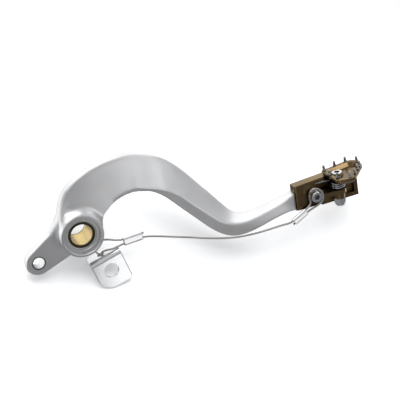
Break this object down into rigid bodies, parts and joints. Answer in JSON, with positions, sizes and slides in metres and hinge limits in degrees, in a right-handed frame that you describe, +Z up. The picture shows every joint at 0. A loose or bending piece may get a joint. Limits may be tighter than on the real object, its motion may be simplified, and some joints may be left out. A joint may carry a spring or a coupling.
{
  "type": "rear brake pedal",
  "caption": "Rear brake pedal for an off-road motorbike: arched forged arm with a bushed pivot boss and clevis lug, folding studded toe piece, and a safety cable to a frame bracket.",
  "frame": {"origin": "on the pivot axis, at the middle of the pivot bush", "axes": "+X forward along the pedal towards the toe piece, +Y inboard along the pivot axis, +Z up"},
  "size_m": [0.2598, 0.0449, 0.0987],
  "materials": {
    "forged_aluminium": "satin polished",
    "brass": "machined",
    "seal_rubber": "matt",
    "bronze_anodised": "anodised, satin",
    "bright_steel": "zinc plated, bright",
    "stud_steel": "turned",
    "spring_steel": "drawn wire",
    "nylon": "plain",
    "cable_steel": "stranded wire",
    "crimp_aluminium": "bright",
    "bracket_steel": "polished sheet"
  },
  "bodies": {
    "pedal": {"pedal_arm": "forged_aluminium", "pivot_bush": "brass", "outer_dust_seal": "seal_rubber", "inner_dust_seal": "seal_rubber", "tip_holder": "bronze_anodised", "holder_screw": "bright_steel", "holder_washer": "bright_steel", "pivot_bolt": "bright_steel", "bolt_washer": "bright_steel", "fold_spring": "spring_steel", "lock_nut": "bright_steel", "nut_insert": "nylon", "snake_cable": "cable_steel", "tip_ferrule": "crimp_aluminium", "bracket_ferrule": "crimp_aluminium", "frame_bracket": "bracket_steel"},
    "toe": {"toe_pad": "bronze_anodised", "pad_studs": "stud_steel"}
  },
  "joints": [
    {"name": "toe_fold", "type": "hinge", "parent": "pedal", "child": "toe", "pos_m": [0.19907, -0.015, 0.01327], "axis": [0.165, 0, -0.9863], "range_deg": [0, 40], "stiffness_Nm_per_rad": 0.6, "springref_deg": -20.05}
  ]
}
